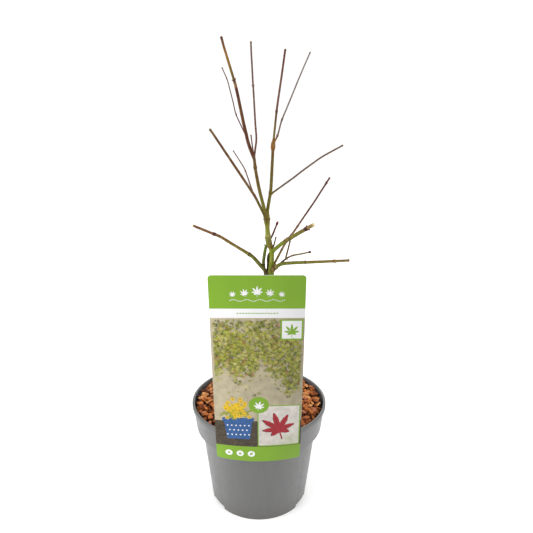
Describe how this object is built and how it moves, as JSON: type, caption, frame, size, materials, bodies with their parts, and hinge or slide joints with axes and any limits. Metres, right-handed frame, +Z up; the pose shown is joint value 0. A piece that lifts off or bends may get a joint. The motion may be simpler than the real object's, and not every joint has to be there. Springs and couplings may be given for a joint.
{
  "type": "potted japanese maple",
  "caption": "Young Japanese maple, bare in winter, with upright leaders and spreading shoots, in a round grey nursery pot topped with bark chips, with a tall plant label.",
  "frame": {"origin": "middle of the pot's flat underside, on the surface it stands on", "axes": "+Z up, the plant label at the front on -Y, +X to the right as seen from the front"},
  "size_m": [0.206, 0.2237, 0.6357],
  "materials": {
    "pot_plastic": "mid grey moulded plastic, faintly textured, satin",
    "soil": "dark moist potting compost",
    "bark_chips": "rough orange-brown bark chips",
    "label_sheet": "printed semi-gloss sheet, green with a pale leaf-patterned panel",
    "green_bark": "smooth olive green young bark",
    "brown_bark": "smooth brown and olive young bark",
    "red_twigs": "smooth red-brown one-year wood"
  },
  "bodies": {
    "root": {"pot": "pot_plastic", "soil": "soil", "bark_mulch": "bark_chips", "label": "label_sheet", "trunk": "green_bark", "left_leader": "brown_bark", "right_leader": "brown_bark", "left_crown_twigs": "red_twigs", "right_crown_twigs": "red_twigs", "arching_right_bough": "brown_bark", "mid_left_bough": "brown_bark", "mid_left_twig": "brown_bark", "low_left_bough": "green_bark", "cut_right_bough": "green_bark", "long_right_bough": "brown_bark", "low_right_bough": "green_bark", "low_right_twigs": "red_twigs", "back_twigs": "red_twigs"}
  },
  "joints": []
}
